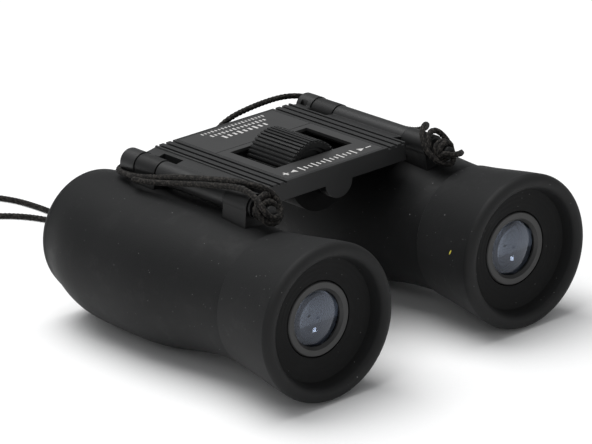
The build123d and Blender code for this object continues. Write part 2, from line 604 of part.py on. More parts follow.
# ---------------------------------------------------------------- neck strap
STRAP_LOW = STRAP_D / 2 + 0.02
KNOT_R = 4.5
KNOT_SPAN = (-23.2, -18.2)
COIL_CENTRE = (-17.0, 130.5)
COIL_MEAN_R = 5.5 * STRAP_D
COIL_OUT = COIL_MEAN_R + 1.5 * STRAP_D
COIL_IN = COIL_MEAN_R - 1.5 * STRAP_D
COIL_HEIGHT = 3 * STRAP_D + 0.1
LEFT_ROUTE = (
    (-29.2, -20.4, 43.6),
    (-30.2, -13.8, 45.2),
    (-30.6, -4.0, 44.7),
    (-31.6, 8.0, 42.8),
    (-32.7, 17.0, 40.8),
    (-33.2, 23.0, 39.7),
    (-32.5, 28.6, 39.2),
    (-31.2, 34.2, 38.9),
    (-24.6, 36.4, 38.9),
    (-16.0, 37.0, 38.7),
    (-6.4, 36.8, 37.8),
    (-1.6, 36.9, 33.6),
    (-1.0, 37.8, 24.0),
    (-1.2, 38.8, 13.0),
    (-1.6, 41.8, 4.4),
    (-2.5, 49.0, STRAP_LOW + 0.6),
    (-2.9, 62.0, STRAP_LOW),
    (-2.4, 80.0, STRAP_LOW),
    (-3.2, 97.0, STRAP_LOW),
    (-6.0, 108.0, STRAP_LOW),
    (-12.0, 116.4, STRAP_LOW),
    (-21.6, 121.9, STRAP_LOW),
)
RIGHT_ROUTE = (
    (30.4, -20.4, 43.5),
    (32.4, -13.6, 41.4),
    (33.4, -4.0, 40.0),
    (33.8, 8.0, 39.5),
    (33.8, 19.6, 39.7),
    (33.3, 28.6, 40.3),
    (30.6, 34.8, 41.6),
    (25.4, 37.6, 42.3),
    (15.6, 37.8, 42.0),
    (6.6, 38.4, 40.3),
    (1.7, 40.0, 34.8),
    (0.9, 41.4, 25.0),
    (1.0, 42.8, 14.0),
    (1.4, 46.0, 5.0),
    (1.9, 53.5, STRAP_LOW + 0.6),
    (2.0, 67.0, STRAP_LOW),
    (1.2, 84.0, STRAP_LOW),
    (-0.6, 100.0, STRAP_LOW),
    (-0.4, 113.0, STRAP_LOW),
    (-2.0, 125.0, STRAP_LOW),
    (-10.2, 137.6, STRAP_LOW),
)


def corner_radii(route):
    """The largest tangent arc at each corner that its two straight runs allow."""
    radii = []
    for before, corner, after in zip(route, route[1:], route[2:]):
        leaving, arriving = Vector(*after) - Vector(*corner), Vector(*corner) - Vector(*before)
        half_turn = radians(arriving.get_angle(leaving)) / 2
        radii.append(0.45 * min(arriving.length, leaving.length) / tan(half_turn))
    return radii


for name, route in (("left", LEFT_ROUTE), ("right", RIGHT_ROUTE)):
    radii = corner_radii(route)
    with BuildPart() as strap_run:
        with BuildLine() as run_path:
            FilletPolyline(*route, radius=radii)
        with BuildSketch(Plane(origin=run_path.line @ 0, z_dir=run_path.line % 0)):
            Circle(STRAP_D / 2)
        sweep()
    path_length = run_path.wire().length
    section = pi * STRAP_D ** 2 / 4
    print(f"strap_run_{name}: length {path_length:.1f}, smallest radius {min(radii):.1f},",
          f"volume over section x length {strap_run.part.volume / (section * path_length):.4f}")
    print("  radii", [round(radius, 1) for radius in radii])
    save(strap_run.part, f"strap_run_{name}")

    side = SIDES[name]
    with BuildPart() as strap_knot:
        with BuildSketch(Plane(origin=(side * HINGE_X, 0, HINGE_Z), x_dir=(0, 1, 0), z_dir=(0, 0, 1))):
            with BuildLine():
                knot_middle = sum(KNOT_SPAN) / 2
                Line((KNOT_SPAN[0], STRAP_POST_R), (KNOT_SPAN[0], 2.4))
                Spline((KNOT_SPAN[0], 2.4), (knot_middle, KNOT_R), (KNOT_SPAN[1], 2.9))
                Polyline((KNOT_SPAN[1], 2.9), (KNOT_SPAN[1], STRAP_POST_R), (KNOT_SPAN[0], STRAP_POST_R))
            make_face()
        revolve(axis=Axis((side * HINGE_X, 0, HINGE_Z), (0, 1, 0)))
    save(strap_knot.part, f"strap_knot_{name}")

with BuildPart() as strap_coil:
    with BuildSketch(Plane.XY):
        with Locations(COIL_CENTRE):
            Circle(COIL_OUT)
            Circle(COIL_IN, mode=Mode.SUBTRACT)
    extrude(amount=COIL_HEIGHT)
    fillet(strap_coil.edges().filter_by(GeomType.CIRCLE).group_by(Axis.Z)[-1], radius=0.7)
save(strap_coil.part, "strap_coil")
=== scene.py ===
import math

import bmesh
import bpy
from mathutils import Matrix, Vector
from mathutils.bvhtree import BVHTree


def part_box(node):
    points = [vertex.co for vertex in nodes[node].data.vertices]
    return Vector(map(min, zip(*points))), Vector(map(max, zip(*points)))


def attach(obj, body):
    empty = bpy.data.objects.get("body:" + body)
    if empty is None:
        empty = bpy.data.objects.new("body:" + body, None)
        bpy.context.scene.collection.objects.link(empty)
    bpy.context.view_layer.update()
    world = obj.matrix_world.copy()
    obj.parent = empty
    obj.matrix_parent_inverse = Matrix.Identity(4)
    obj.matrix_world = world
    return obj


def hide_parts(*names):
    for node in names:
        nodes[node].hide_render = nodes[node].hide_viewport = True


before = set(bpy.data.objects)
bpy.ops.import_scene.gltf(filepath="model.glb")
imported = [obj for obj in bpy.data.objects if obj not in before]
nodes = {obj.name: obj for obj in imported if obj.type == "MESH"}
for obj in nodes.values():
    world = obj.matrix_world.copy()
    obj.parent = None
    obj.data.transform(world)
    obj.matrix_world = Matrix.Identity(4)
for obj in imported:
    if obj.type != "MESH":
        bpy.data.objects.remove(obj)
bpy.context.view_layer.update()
MM = 0.001


# The picture. A long lens stands about 0.9 m away, in front and to the left of the eyepieces,
# a little above them, and is turned a few degrees on its own axis.
CAMERA_PLACE = (-0.53385, -0.67105, 0.34202)
CAMERA_HEADING, CAMERA_DIP, CAMERA_ROLL = -38.37, 20.3, -3.37
camera_data = bpy.data.cameras.new("camera")
camera_data.lens = 228.17
camera_data.sensor_width = 36.0
camera_data.clip_start = 0.05
camera = bpy.data.objects.new("camera", camera_data)
bpy.context.scene.collection.objects.link(camera)
camera.matrix_world = (
    Matrix.Translation(CAMERA_PLACE)
    @ Matrix.Rotation(math.radians(CAMERA_HEADING), 4, "Z")
    @ Matrix.Rotation(math.radians(90 - CAMERA_DIP), 4, "X")
    @ Matrix.Rotation(math.radians(CAMERA_ROLL), 4, "Z")
)
bpy.context.scene.camera = camera


# The neck cord. One braided nylon cord, tied at both ends round the strap posts. Each end runs
# back along its hinge, drops between the barrels at the objective end and goes out along the
# table, where the rest lies in a coil.
class Wire:
    """A shader socket that takes part in ordinary arithmetic; each operation adds its node."""

    def __init__(self, tree, socket):
        self.tree, self.socket = tree, socket

    def output(self, number):
        """Another output of the node that made this wire."""
        return Wire(self.tree, self.socket.node.outputs[number])

    def math(self, operation, *values):
        node = self.tree.nodes.new("ShaderNodeMath")
        node.operation = operation
        for slot, value in zip(node.inputs, (self,) + values):
            plug(self.tree, value, slot)
        return Wire(self.tree, node.outputs[0])

    def __add__(self, other):
        return self.math("ADD", other)

    __radd__ = __add__

    def __mul__(self, other):
        return self.math("MULTIPLY", other)

    __rmul__ = __mul__

    def __sub__(self, other):
        return self.math("SUBTRACT", other)

    def __rsub__(self, other):
        return (self * -1.0) + other

    def __pow__(self, other):
        return self.math("POWER", other)

    def clamped(self):
        return self.math("MINIMUM", 1.0).math("MAXIMUM", 0.0)


def plug(tree, value, slot):
    """Link a wire to a socket, or set the socket to a plain value."""
    if isinstance(value, Wire):
        tree.links.new(value.socket, slot)
    else:
        slot.default_value = value


class Finish:
    """One procedural material round a Principled shader."""

    def __init__(self, name):
        self.material = bpy.data.materials.new(name)
        self.material.use_nodes = True
        self.tree = self.material.node_tree
        self.shader = self.tree.nodes["Principled BSDF"]

    def node(self, kind, settings=(), output=0, **sockets):
        """Any node: its settings, then its sockets, by name (_ for a space) or by i and a number."""
        made = self.tree.nodes.new("ShaderNode" + kind)
        for key, value in dict(settings).items():
            setattr(made, key, value)
        for key, value in sockets.items():
            place = int(key[1:]) if key[1:].isdigit() else key.replace("_", " ")
            plug(self.tree, value, made.inputs[place])
        return Wire(self.tree, made.outputs[output])

    def place(self):
        """The point on the object, in its own metres, which moves with it."""
        return self.node("TexCoord", output=3)

    def noise(self, scale, detail=3.0, rough=0.55, at=None):
        where = at or self.place()
        return self.node("TexNoise", Vector=where, Scale=scale, Detail=detail, Roughness=rough)

    def steps(self, value, low, high):
        """0 below low, 1 above high, smooth between."""
        settings = {"interpolation_type": "SMOOTHSTEP"}
        return self.node("MapRange", settings, i0=value, i1=low, i2=high, i3=0.0, i4=1.0)

    def mix(self, factor, one, other):
        """A colour between two colours."""
        return self.node("Mix", {"data_type": "RGBA"}, output=2, i0=factor, i6=one, i7=other)

    def set(self, **sockets):
        for key, value in sockets.items():
            plug(self.tree, value, self.shader.inputs[key.replace("_", " ")])

    def bump(self, height, distance, strength, normal=None):
        sockets = {"Height": height, "Distance": distance, "Strength": strength}
        if normal:
            sockets["Normal"] = normal
        return self.node("Bump", **sockets)


def grey(value, warm=0.0):
    """A near neutral colour, a little warm or cool."""
    return (value * (1 + warm), value, value * (1 - warm), 1.0)


def braid_finish():
    finish = Finish("strap_braid")
    threads = finish.node("UVMap")
    fibre = finish.noise(1500.0, 2.0, at=threads)
    soft = finish.noise(260.0)
    tone = finish.steps(fibre, 0.46, 0.64)
    finish.set(
        Base_Color=finish.mix(tone, grey(0.004, 0.08), grey(0.036, 0.12)),
        Roughness=0.62 + soft * 0.2,
        Sheen_Weight=0.05,
        Sheen_Roughness=0.4,
        Specular_IOR_Level=0.18,
        Normal=finish.bump(fibre, 0.00006, 0.7),
    )
    return finish.material


STRAP_D = 1.5 * MM
STRAP_GIRTH = 4.7 * MM
STRAP_LOW = STRAP_D / 2 + 0.02 * MM
RING_SPACING = 0.3 * MM
RING_POINTS = 20
PLAITS = 4
PLAIT_PITCH = 1.18 * MM
PLAIT_FLOOR, PLAIT_RISE = 0.82, 0.21
UNDER_SHARE = 0.45
END_TAPER, END_TAPER_STEP = 0.45, 0.35
strap_finish = braid_finish()


def nurbs_points(name, route, spacing):
    """Evenly spaced points along the smooth line that has the route as its control points."""
    curve = bpy.data.curves.new(name, "CURVE")
    curve.dimensions = "3D"
    curve.resolution_u = 24
    spline = curve.splines.new("NURBS")
    spline.points.add(len(route) - 1)
    for point, place in zip(spline.points, route):
        point.co = (*place, 1.0)
    spline.order_u = 3
    spline.use_endpoint_u = True
    holder = bpy.data.objects.new(name, curve)
    bpy.context.scene.collection.objects.link(holder)
    bpy.context.view_layer.update()
    depsgraph = bpy.context.evaluated_depsgraph_get()
    mesh = bpy.data.meshes.new_from_object(holder.evaluated_get(depsgraph))
    line = [v.co.copy() for v in mesh.vertices]
    bpy.data.objects.remove(holder)
    even, left = [line[0]], spacing
    for a, b in zip(line, line[1:]):
        step = (b - a).length
        while step >= left > 0:
            a = a.lerp(b, left / step)
            even.append(a)
            step = (b - a).length
            left = spacing
        left -= step
    return even + [line[-1]]


def braided_tube(name, line, radius):
    """A round braid along a line: plaits pass over and under each other, and both ends are closed."""
    mesh = bmesh.new()
    uv = mesh.loops.layers.uv.new("braid")
    rings, normal, travelled = [], Vector((0, 0, 1)), 0.0
    for i, centre in enumerate(line):
        ahead = line[min(i + 1, len(line) - 1)] - line[max(i - 1, 0)]
        ahead.normalize()
        side = normal.cross(ahead)
        side = (side if side.length > 0.01 else Vector((1, 0, 0)).cross(ahead)).normalized()
        normal = ahead.cross(side).normalized()
        if i:
            travelled += (centre - line[i - 1]).length
        taper = min(1.0, END_TAPER + END_TAPER_STEP * min(i, len(line) - 1 - i))
        ring = []
        for k in range(RING_POINTS):
            turn = k / RING_POINTS
            one = turn * PLAITS + travelled / PLAIT_PITCH
            two = turn * PLAITS - travelled / PLAIT_PITCH
            first_on_top = (math.floor(one) + math.floor(two)) % 2 == 0
            over, under = (one, two) if first_on_top else (two, one)
            crown = 1 - (2 * (over % 1) - 1) ** 2
            hump = UNDER_SHARE + (1 - UNDER_SHARE) * math.sin(math.pi * (under % 1))
            reach = radius * taper * (PLAIT_FLOOR + PLAIT_RISE * crown * hump)
            angle = 2 * math.pi * turn
            spoke = side * math.cos(angle) + normal * math.sin(angle)
            ring.append(mesh.verts.new(centre + spoke * reach))
        rings.append((ring, travelled))
    for (one, along), (two, further) in zip(rings, rings[1:]):
        for k in range(RING_POINTS):
            after = (k + 1) % RING_POINTS
            face = mesh.faces.new((one[k], one[after], two[after], two[k]))
            face.smooth = True
            corners = ((k, along), (k + 1, along), (k + 1, further), (k, further))
            for loop, (u, v) in zip(face.loops, corners):
                loop[uv].uv = (u / RING_POINTS * STRAP_GIRTH, v)
    mesh.faces.new(list(reversed(rings[0][0])))
    mesh.faces.new(rings[-1][0])
    data = bpy.data.meshes.new(name)
    mesh.to_mesh(data)
    mesh.free()
    piece = bpy.data.objects.new(name, data)
    bpy.context.scene.collection.objects.link(piece)
    data.materials.append(strap_finish)
    return piece


# From here to the cord's smooth line, places are in millimetres.
HINGE = Vector((27.8, 0, 40.6))
WRAP_R = 2.3
OVER_R = 3.75
WRAP_STEPS = 24
WRAP_FROM_Y, WRAP_TO_Y = -22.0, -19.0
WRAP_FROM_ANGLE, WRAP_STEP_ANGLE = 200, 30


def round_post(side, degrees, radius, y):
    """A point round a strap post: 0 degrees is outboard and 90 is up."""
    angle = math.radians(degrees)
    return (side * (HINGE.x + radius * math.cos(angle)), y, HINGE.z + radius * math.sin(angle))


def hitch(side, tail, cross, bight):
    """A tied end: the cut tail, its crossing of the post's end, two turns, and the bight over them."""
    knot = [(side * x, y, z) for x, y, z in tail]
    knot += [round_post(side, *point) for point in cross]
    for i in range(WRAP_STEPS + 1):
        y = WRAP_FROM_Y + (WRAP_TO_Y - WRAP_FROM_Y) * i / WRAP_STEPS
        knot.append(round_post(side, WRAP_FROM_ANGLE - WRAP_STEP_ANGLE * i, WRAP_R, y))
    knot += [round_post(side, *point) for point in bight]
    return knot


LEFT_HITCH = hitch(
    -1,
    tail=((34.2, 22.6, 39.7), (33.9, 18.6, 39.8), (32.5, 8.0, 41.6), (31.4, -4.0, 43.8),
          (30.5, -12.0, 45.1)),
    cross=((62, 5.4, -17.0), (56, 4.9, -20.0), (40, 3.7, -22.6), (15, 2.5, -23.8),
           (-50, 1.3, -24.1), (-140, 2.0, -23.6)),
    bight=((165, 3.2, -19.0), (130, 3.7, -19.4), (95, OVER_R, -20.0), (55, OVER_R, -20.7),
           (15, 3.5, -21.8), (-25, 3.0, -23.0), (-65, 2.7, -23.6), (-105, 2.7, -23.7),
           (-145, 3.0, -23.2), (-185, 3.7, -21.8), (-222, 4.4, -20.2), (-252, 5.0, -18.6)),
)
RIGHT_HITCH = hitch(
    1,
    tail=((33.0, -21.4, 39.0), (31.6, -22.8, 39.4), (29.6, -23.9, 40.0)),
    cross=((200, 0.6, -24.2), (165, 2.2, -23.7)),
    bight=((165, 3.2, -19.1), (130, 3.8, -18.0), (95, 4.2, -16.6), (60, 4.3, -16.2),
           (25, 4.1, -17.4), (-10, 3.9, -19.4), (-45, 3.4, -21.8), (-80, 2.9, -23.2),
           (-115, 2.9, -23.2), (-150, 3.4, -21.8), (-185, 4.1, -19.6), (-220, 4.8, -17.4),
           (-250, 5.2, -15.4), (-276, 5.1, -13.8), (-302, 4.8, -12.2)),
)
LEFT_ROUTE = (
    (-28.4, -16.6, 46.1),
    (-29.6, -12.0, 46.3),
    (-30.6, -4.0, 45.1),
    (-31.6, 8.0, 43.0),
    (-32.7, 17.0, 40.9),
    (-33.2, 22.6, 40.0),
    (-32.5, 27.8, 39.3),
    (-31.2, 33.2, 38.8),
    (-25.0, 35.6, 38.6),
    (-16.0, 37.0, 38.7),
    (-6.4, 36.8, 37.8),
    (-1.6, 36.9, 33.6),
    (-1.0, 37.8, 24.0),
    (-1.2, 38.8, 13.0),
    (-1.6, 41.8, 4.4),
    (-2.5, 49.0, 1.37),
    (-2.9, 62.0, 0.77),
    (-2.4, 80.0, 0.77),
    (-3.2, 97.0, 0.77),
    (-6.0, 108.0, 0.77),
    (-12.0, 116.4, 0.77),
    (-21.6, 121.9, 0.77),
)
RIGHT_ROUTE = (
    (32.0, -9.4, 42.6),
    (33.4, -3.0, 40.2),
    (33.8, 8.0, 39.5),
    (33.8, 19.6, 39.7),
    (33.3, 28.6, 40.3),
    (30.6, 34.8, 41.6),
    (25.4, 37.6, 42.3),
    (15.6, 37.8, 42.0),
    (6.6, 38.4, 40.3),
    (1.7, 40.0, 34.8),
    (0.9, 41.4, 25.0),
    (1.0, 42.8, 14.0),
    (1.4, 46.0, 5.0),
    (1.9, 53.5, 1.37),
    (2.0, 67.0, 0.77),
    (1.2, 84.0, 0.77),
    (-0.6, 100.0, 0.77),
    (-0.4, 113.0, 0.77),
    (-2.0, 125.0, 0.77),
)
COIL_CENTRE = Vector((-17.0, 130.5, 0))
COIL_MEAN_R = 8.25
COIL_LANE = 1.5
COIL_IN_ANGLE = 242.2
COIL_OUT_ANGLE = 45.8
COIL_WHOLE_TURNS = 9
COIL_TURNS = COIL_WHOLE_TURNS + (COIL_IN_ANGLE - COIL_OUT_ANGLE) / 360
COIL_STEPS = 14
WIDE, TIGHT = COIL_MEAN_R + COIL_LANE, COIL_MEAN_R - COIL_LANE
# where the winding stands after so many turns: turns, radius, layer
COIL_STAGES = (
    (0, WIDE, 0), (2, TIGHT, 0), (3, TIGHT, 1), (5, WIDE, 1), (6, WIDE, 2), (8, TIGHT, 2),
    (8.35, TIGHT + 0.4, 3), (9.05, WIDE + 0.9, 2.6), (COIL_TURNS, WIDE + 0.9, 0),
)


def coil_points():
    """Three turns out and in on each of three layers, then one over the top and down."""
    made = []
    for i in range(1, round(COIL_TURNS * COIL_STEPS) + 1):
        turn = min(i / COIL_STEPS, COIL_TURNS)
        before = max(stage for stage in COIL_STAGES if stage[0] < turn)
        after = min(stage for stage in COIL_STAGES if stage[0] >= turn)
        share = (turn - before[0]) / (after[0] - before[0])
        radius = before[1] + (after[1] - before[1]) * share
        layer = before[2] + (after[2] - before[2]) * share
        angle = math.radians(COIL_IN_ANGLE - 360 * turn)
        spot = COIL_CENTRE + Vector((math.cos(angle), math.sin(angle), 0)) * radius
        made.append((spot.x, spot.y, (STRAP_LOW + STRAP_D * layer) / MM))
    return made


strap_route = LEFT_HITCH + list(LEFT_ROUTE) + coil_points()
strap_route += list(reversed(RIGHT_ROUTE)) + list(reversed(RIGHT_HITCH))
strap_line = nurbs_points("strap_route", [Vector(p) * MM for p in strap_route], RING_SPACING)
strap = braided_tube("neck_cord", strap_line, STRAP_D / 2)
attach(strap, "bridge")
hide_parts("strap_run_left", "strap_run_right", "strap_coil", "strap_knot_left", "strap_knot_right")


# The table and the light. A white table under a broad soft light from above, with a weaker one
# from the front, in a pale room, so that black rubber still shows its roundness. A small third
# lamp is there only to give each eye lens one highlight.
FLOOR_HALF = 3.0
floor_mesh = bpy.data.meshes.new("floor")
floor_corners = [(x * FLOOR_HALF, y * FLOOR_HALF, 0) for x, y in ((-1, -1), (1, -1), (1, 1), (-1, 1))]
floor_mesh.from_pydata(floor_corners, [], [(0, 1, 2, 3)])
floor = bpy.data.objects.new("floor", floor_mesh)
bpy.context.scene.collection.objects.link(floor)
paper = Finish("table_paper")
paper_fibre = paper.noise(900.0, 4.0)
paper.set(
    Base_Color=paper.mix(paper_fibre, (0.90, 0.90, 0.90, 1), (0.93, 0.93, 0.93, 1)),
    Roughness=0.85 + paper_fibre * 0.1,
    Specular_IOR_Level=0.2,
)
floor_mesh.materials.append(paper.material)


def softbox(name, place, aim, size, power):
    """A square area light at a place, turned to its aim."""
    data = bpy.data.lights.new(name, "AREA")
    data.shape = "SQUARE"
    data.size = size
    data.energy = power
    lamp = bpy.data.objects.new(name, data)
    bpy.context.scene.collection.objects.link(lamp)
    lamp.location = place
    lamp.rotation_euler = (Vector(aim) - Vector(place)).to_track_quat("-Z", "Y").to_euler()


softbox("overhead_softbox", (-0.10, 0.25, 1.00), (0, 0, 0), 0.9, 12.0)
softbox("front_softbox", (-0.9, -0.5, 0.75), (0, 0, 0.02), 0.6, 1.0)
softbox("window_glint", (0.50, -1.20, 0.30), (0, 0, 0.02), 0.22, 1.6)
world = bpy.data.worlds.new("studio")
world.use_nodes = True
room = world.node_tree.nodes["Background"]
room.inputs["Color"].default_value = (0.97, 0.985, 1.0, 1)
room.inputs["Strength"].default_value = 0.30
bpy.context.scene.world = world
bpy.context.scene.view_settings.view_transform = "Standard"


# The bridge. A hollow moulding in glass-filled nylon with a fine spark-eroded grain. Its long
# ribs, hinge tubes and edges are rubbed a little paler and smoother by handling.
EDGE = 0.22 * MM
RUBBED_SHARE = 0.7


def finish_node(name, material):
    """Put one material on a frame piece whose shape already is the real one."""
    data = nodes[name].data
    for slot in range(max(len(data.materials), 1)):
        if slot < len(data.materials):
            data.materials[slot] = material
        else:
            data.materials.append(material)


def moulded(name, tone, rough=0.5, grain=5200.0, depth=0.012, edge_tone=2.6, gloss=0.3):
    """Moulded black plastic: grain, slow clouding of the gloss, and paler rubbed edges."""
    finish = Finish(name)
    rounded = finish.node("Bevel", {"samples": 6}, Radius=EDGE)
    facing = finish.node("NewGeometry", output=1)
    agree = finish.node("VectorMath", {"operation": "DOT_PRODUCT"}, output=1, i0=rounded, i1=facing)
    edge = finish.steps(1 - agree, 0.005, 0.16) * finish.steps(finish.noise(380.0, 4.0), 0.38, 0.66)
    pores = finish.noise(grain, 3.0)
    cloud = finish.noise(95.0, 4.0)
    clouded = finish.mix(cloud, grey(tone * 0.82, -0.02), grey(tone * 1.18, -0.02))
    finish.set(
        Base_Color=finish.mix(edge * RUBBED_SHARE, clouded, grey(tone * edge_tone)),
        Roughness=rough - 0.06 + cloud * 0.14 - edge * 0.10,
        Specular_IOR_Level=gloss,
        Normal=finish.bump(pores, depth * MM * 4, 0.5, normal=rounded),
    )
    return finish.material


finish_node("bridge_frame", moulded("bridge_plastic", 0.015, rough=0.42, gloss=0.4))


# The deck plates. Two thin satin plates pressed into the top of the bridge, in front of and
# behind the focus roller. White pad-printed marks are on both: a plain scale with an arrow at
# each end in front, and three ruled rows behind.
def satin_plate():
    finish = Finish("deck_plate")
    rounded = finish.node("Bevel", {"samples": 6}, Radius=0.12 * MM)
    brushed = finish.node("Mapping", Vector=finish.place(), Scale=(900.0, 9000.0, 900.0))
    hairlines = finish.node("TexNoise", Vector=brushed, Scale=1.0, Detail=2.0)
    cloud = finish.noise(120.0, 4.0)
    finish.set(
        Base_Color=finish.mix(cloud, grey(0.024), grey(0.036)),
        Roughness=0.30 + cloud * 0.10 + hairlines * 0.06,
        Specular_IOR_Level=0.5,
        Normal=finish.bump(hairlines, 0.004 * MM, 0.4, normal=rounded),
    )
    return finish.material


plate_finish = satin_plate()
finish_node("deck_plate_front", plate_finish)
finish_node("deck_plate_rear", plate_finish)

INK_PROUD = 0.02 * MM


def ink():
    finish = Finish("white_ink")
    worn = finish.noise(2600.0, 4.0)
    finish.set(
        Base_Color=finish.mix(finish.steps(worn, 0.30, 0.55), grey(0.25), grey(0.62, 0.02)),
        Roughness=0.5 + worn * 0.15,
        Normal=finish.bump(worn, 0.006 * MM, 0.5),
    )
    return finish.material


def printed(name, plate, strokes):
    """Flat marks on a deck plate; a stroke is an outline of (x, y) corners in millimetres."""
    mesh = bmesh.new()
    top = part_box(plate)[1].z + INK_PROUD
    for stroke in strokes:
        upper = [mesh.verts.new((x * MM, y * MM, top)) for x, y in stroke]
        lower = [mesh.verts.new((x * MM, y * MM, top - INK_PROUD * 1.5)) for x, y in stroke]
        mesh.faces.new(upper)
        mesh.faces.new(list(reversed(lower)))
        for i in range(len(stroke)):
            j = (i + 1) % len(stroke)
            mesh.faces.new((upper[j], upper[i], lower[i], lower[j]))
    bmesh.ops.recalc_face_normals(mesh, faces=mesh.faces)
    data = bpy.data.meshes.new(name)
    mesh.to_mesh(data)
    mesh.free()
    data.materials.append(ink_finish)
    piece = bpy.data.objects.new(name, data)
    bpy.context.scene.collection.objects.link(piece)
    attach(piece, "bridge")


def bar(x, y, wide, high):
    """A rectangular stroke about its middle."""
    return ((x - wide / 2, y - high / 2), (x + wide / 2, y - high / 2),
            (x + wide / 2, y + high / 2), (x - wide / 2, y + high / 2))


def arrow(x, y, way):
    """A small solid arrowhead pointing to +X or -X."""
    return ((x, y - 0.95), (x + way * 1.7, y), (x, y + 0.95))


ink_finish = ink()
SCALE_Y = -10.3
MARK_PITCH, MARK_WIDE = 1.35, 0.42
LONG_MARK, SHORT_MARK = 3.0, 1.7
ARROW_X, SIGN_X = 9.8, 12.9
SIGN_LONG, SIGN_THICK = 1.6, 0.45
PLUS_ARM, PLUS_ARM_Y = 0.8, 0.62
scale_marks = [
    bar(n * MARK_PITCH, SCALE_Y, MARK_WIDE, LONG_MARK if n % 3 == 0 else SHORT_MARK)
    for n in range(-6, 7)
]
scale_marks += [arrow(way * ARROW_X, SCALE_Y, way) for way in (1, -1)]
scale_marks += [bar(way * SIGN_X, SCALE_Y, SIGN_LONG, SIGN_THICK) for way in (1, -1)]
scale_marks += [bar(-SIGN_X, SCALE_Y + way * PLUS_ARM_Y, SIGN_THICK, PLUS_ARM) for way in (1, -1)]
printed("focus_scale_print", "deck_plate_front", scale_marks)
# each row: y, first x, how many, pitch, width, height
RULED_ROWS = (
    (27.4, -8.6, 19, 1.06, 0.42, 0.9),
    (24.8, -7.6, 15, 1.18, 0.5, 1.1),
    (22.0, -5.8, 9, 1.6, 0.66, 1.7),
)
TALL_SHARE = 1.35
ruled = [
    bar(first_x + n * pitch, row_y, wide, high * (TALL_SHARE if n % 3 == 0 else 1.0))
    for row_y, first_x, count, pitch, wide, high in RULED_ROWS
    for n in range(count)
]
printed("side_scale_print", "deck_plate_rear", ruled)


# Cover and screws. The bottom cover snaps up under the deck round the roller's trough, and four
# blackened countersunk screws hold it.
cover_finish = moulded("cover_plastic", 0.004, rough=0.6, grain=4200.0, gloss=0.1)
finish_node("bridge_bottom_cover", cover_finish)


def turned_metal(name, tone, rough, pitch, warm=0.0):
    """Metal off the lathe: fine rings along the axis, smears of oil, and a few bright scratches."""
    finish = Finish(name)
    rings = finish.node("TexWave", {"bands_direction": "Y", "wave_profile": "SAW"},
                        Vector=finish.place(), Scale=pitch, Distortion=0.4, Detail=1.0)
    smear = finish.noise(210.0, 4.0)
    scratch = finish.steps(finish.noise(1500.0, 5.0), 0.58, 0.70)
    shade = finish.mix(smear, grey(tone * 0.78, warm), grey(tone * 1.15, warm))
    finish.set(
        Base_Color=finish.mix(scratch * 0.4, shade, grey(min(tone * 1.8, 0.9), warm)),
        Metallic=1.0,
        Roughness=rough + smear * 0.15 - scratch * 0.05,
        Normal=finish.bump(rings, 0.004 * MM, 0.5),
    )
    return finish.material


finish_node("bridge_cover_screws", turned_metal("screw_steel", 0.10, 0.34, 2400.0))


# Hinge pins, focus rods and levers. Turned and stamped steel. The front pins are blackened, and
# end in the posts that carry the neck cord; the rods slide inside the hollow hinges, and a
# lever on each one reaches its objective.
pin_finish = turned_metal("pin_steel", 0.42, 0.24, 3000.0)
black_pin_finish = moulded("pin_black", 0.012, rough=0.40, grain=6000.0)
for side_name in ("left", "right"):
    finish_node("hinge_pin_front_" + side_name, black_pin_finish)
    finish_node("hinge_pin_rear_" + side_name, pin_finish)
    finish_node("focus_rod_" + side_name, pin_finish)
    lever_finish = turned_metal("lever_steel_" + side_name, 0.36, 0.32, 1800.0)
    finish_node("focus_lever_" + side_name, lever_finish)


# The focus drive. A ribbed roller moulded in black acetal with a pale-edged cap in its end turns
# the steel screw in a brass bush, and the nut carries both rods along.
wheel_finish = moulded("wheel_plastic", 0.009, rough=0.36, depth=0.008, edge_tone=3.4)
finish_node("focus_wheel", wheel_finish)
finish_node("focus_wheel_cap", moulded("cap_plastic", 0.030, rough=0.34, edge_tone=3.0))
finish_node("focus_screw", turned_metal("screw_thread_steel", 0.40, 0.28, 9000.0))
finish_node("focus_bush", turned_metal("bush_brass", 0.50, 0.30, 3200.0, warm=0.35))
finish_node("focus_carriage", moulded("carriage_plastic", 0.030, rough=0.45, grain=3800.0))


# The barrels. Each is a moulded tube with two hinge knuckles standing on feet, and a collar that
# the eyepiece screws on to.
barrel_finish = moulded("barrel_plastic", 0.009, rough=0.44)
for side_name in ("left", "right"):
    finish_node("barrel_body_" + side_name, barrel_finish)


# Armour and eyecups. Soft-touch rubber sleeves, dull and very slightly pebbled, which hold dust.
# The eyecup's rim is rubbed paler by handling, and its inner wall is moulded in fine dull rings
# and painted darker, a painted shade for the hollow of the cup.
EYE_X, AXIS_Z = 30.8 * MM, 19.8 * MM
RIM_FADE_Y = (-44.6 * MM, -46.2 * MM)
MOUTH_FADE_Y = (-33.0 * MM, -37.0 * MM)
CUP_WALL_FADE_R = (15.0 * MM, 15.8 * MM)
CUP_RING_RATE = 5200.0
DUST_CELLS, DUST_SIZE, DUST_KEPT = 300.0, (0.030, 0.060), (0.78, 0.84)
FINE_CELLS, FINE_SIZE, FINE_KEPT = 900.0, (0.060, 0.12), (0.80, 0.86)


def dust_specks(finish, place, cells, size, kept):
    """One small speck in each cell of a scatter, kept only where the cell's own draw is high."""
    speck = finish.node("TexVoronoi", Vector=place, Scale=cells, Randomness=1.0)
    draw = finish.node("SeparateColor", Color=speck.output(1))
    return (1 - finish.steps(speck, *size)) * finish.steps(draw, *kept)


